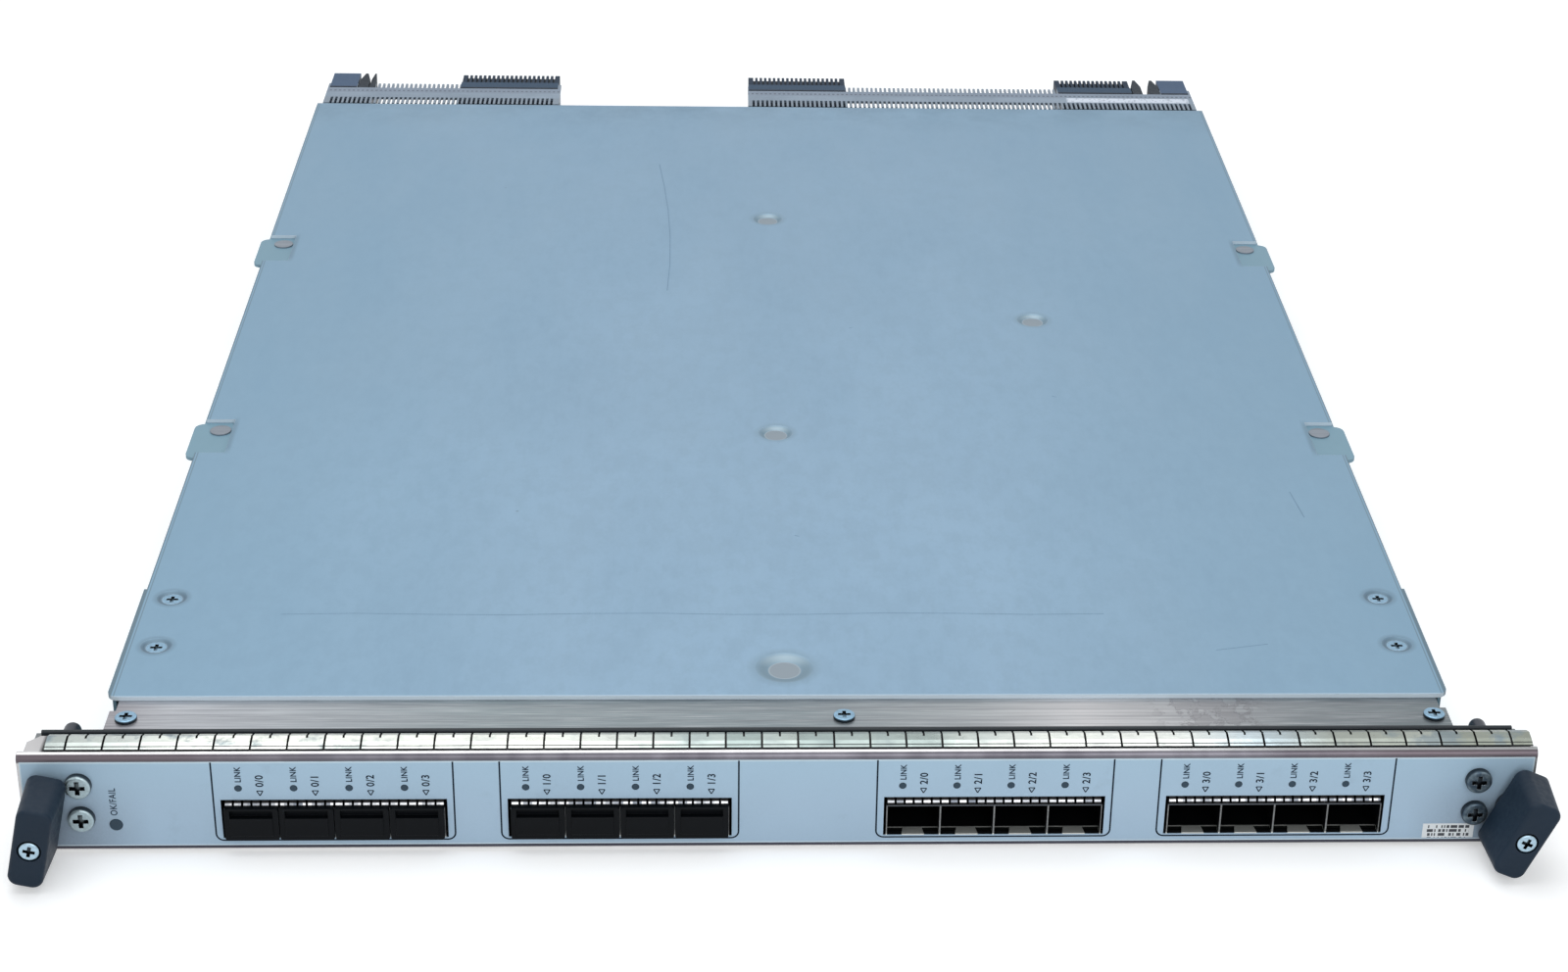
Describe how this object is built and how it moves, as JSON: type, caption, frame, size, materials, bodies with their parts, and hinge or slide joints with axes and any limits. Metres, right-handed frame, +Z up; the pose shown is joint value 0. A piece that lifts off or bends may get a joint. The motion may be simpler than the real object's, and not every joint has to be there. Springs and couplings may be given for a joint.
{
  "type": "switch line card",
  "caption": "Flat plug-in line card for a modular switch: a lidded tray with a row of transceiver ports in front, turning jack-screw handles at its ends and backplane connectors at the rear.",
  "frame": {"origin": "middle of the tray's flat underside, halfway along the top cover's length", "axes": "+X to the right along the faceplate, +Y from the faceplate to the backplane connectors, +Z up through the cover"},
  "size_m": [0.4004, 0.5496, 0.031],
  "materials": {
    "steel_edge": "satin grey plated steel",
    "front_film": "light blue-grey printed film, satin",
    "white_plate": "white matt label stock",
    "bright_screw": "bright zinc plating",
    "spring_finger": "bright rolled spring strip",
    "plated_tray": "zinc-plated sheet",
    "brushed_bracket": "long-grain brushed, warm grey",
    "zinc_post": "turned, plated",
    "satin_cover": "satin blue-grey with fine handling marks",
    "cover_screw": "plated, dull",
    "port_cage": "thin bright tinned sheet",
    "black_moulding": "black, matt",
    "plug_moulding": "black, satin",
    "clear_pipe": "clear moulding, dark when unlit",
    "cast_block": "as-cast grey",
    "black_bushing": "black, satin",
    "turned_shaft": "dark oxide with bright journal",
    "handle_moulding": "dark slate, fine texture",
    "stiffener_steel": "tin-plated strip",
    "guide_metal": "blue-grey, satin",
    "blade_metal": "plated, worn",
    "connector_moulding": "dark blue-grey liquid-crystal polymer",
    "board_laminate": "green solder mask",
    "chip_lid": "nickel-plated lid",
    "heat_sink": "extruded, clear anodised",
    "power_case": "black anodised brick",
    "inductor_core": "pressed iron powder",
    "capacitor_can": "bright can"
  },
  "bodies": {
    "card": {"faceplate": "steel_edge", "faceplate_film": "front_film", "blank_plate": "white_plate", "faceplate_screws": "bright_screw", "emi_gasket": "spring_finger", "base_tray": "plated_tray", "front_bracket": "brushed_bracket", "bracket_posts": "zinc_post", "bracket_screws": "bright_screw", "top_cover": "satin_cover", "cover_screws": "cover_screw", "ear_rivets": "cover_screw", "port_cage_1": "port_cage", "port_cage_2": "port_cage", "port_cage_3": "port_cage", "port_cage_4": "port_cage", "cage_spring_strips": "port_cage", "port_connectors": "black_moulding", "light_pipes": "clear_pipe", "status_light_pipe": "clear_pipe", "ejector_block_left": "cast_block", "ejector_bushing_left": "black_bushing", "connector_stiffener_left": "stiffener_steel", "guide_block_left": "guide_metal", "alignment_blades_left": "blade_metal", "ejector_block_right": "cast_block", "ejector_bushing_right": "black_bushing", "connector_stiffener_right": "stiffener_steel", "guide_block_right": "guide_metal", "alignment_blades_right": "blade_metal", "signal_module_1": "connector_moulding", "signal_module_2": "connector_moulding", "signal_module_3": "connector_moulding", "main_board": "board_laminate", "board_standoffs": "zinc_post", "board_screws": "bright_screw", "forwarding_chips": "chip_lid", "heat_sinks": "heat_sink", "memory_chips": "black_moulding", "power_modules": "power_case", "inductors": "inductor_core", "capacitors": "capacitor_can", "phy_chips": "black_moulding"},
    "left_ejector": {"ejector_shaft_left": "turned_shaft", "ejector_clip_left": "bright_screw", "ejector_handle_left": "handle_moulding", "ejector_screw_left": "bright_screw"},
    "right_ejector": {"ejector_shaft_right": "turned_shaft", "ejector_clip_right": "bright_screw", "ejector_handle_right": "handle_moulding", "ejector_screw_right": "bright_screw"},
    "plug_1": {"dust_plug_1": "plug_moulding"},
    "plug_2": {"dust_plug_2": "plug_moulding"},
    "plug_3": {"dust_plug_3": "plug_moulding"},
    "plug_4": {"dust_plug_4": "plug_moulding"},
    "plug_5": {"dust_plug_5": "plug_moulding"},
    "plug_6": {"dust_plug_6": "plug_moulding"},
    "plug_7": {"dust_plug_7": "plug_moulding"},
    "plug_8": {"dust_plug_8": "plug_moulding"}
  },
  "joints": [
    {"name": "left_ejector_turn", "type": "hinge", "parent": "card", "child": "left_ejector", "pos_m": [-0.1924, -0.24415, 0.0129], "axis": [0, 1, 0], "continuous": true},
    {"name": "right_ejector_turn", "type": "hinge", "parent": "card", "child": "right_ejector", "pos_m": [0.1924, -0.24415, 0.0129], "axis": [0, 1, 0], "continuous": true},
    {"name": "plug_1_pull", "type": "slide", "parent": "card", "child": "plug_1", "axis": [0, -1, 0], "range_m": [0, 0.024]},
    {"name": "plug_2_pull", "type": "slide", "parent": "card", "child": "plug_2", "axis": [0, -1, 0], "range_m": [0, 0.024]},
    {"name": "plug_3_pull", "type": "slide", "parent": "card", "child": "plug_3", "axis": [0, -1, 0], "range_m": [0, 0.024]},
    {"name": "plug_4_pull", "type": "slide", "parent": "card", "child": "plug_4", "axis": [0, -1, 0], "range_m": [0, 0.024]},
    {"name": "plug_5_pull", "type": "slide", "parent": "card", "child": "plug_5", "axis": [0, -1, 0], "range_m": [0, 0.024]},
    {"name": "plug_6_pull", "type": "slide", "parent": "card", "child": "plug_6", "axis": [0, -1, 0], "range_m": [0, 0.024]},
    {"name": "plug_7_pull", "type": "slide", "parent": "card", "child": "plug_7", "axis": [0, -1, 0], "range_m": [0, 0.024]},
    {"name": "plug_8_pull", "type": "slide", "parent": "card", "child": "plug_8", "axis": [0, -1, 0], "range_m": [0, 0.024]}
  ]
}
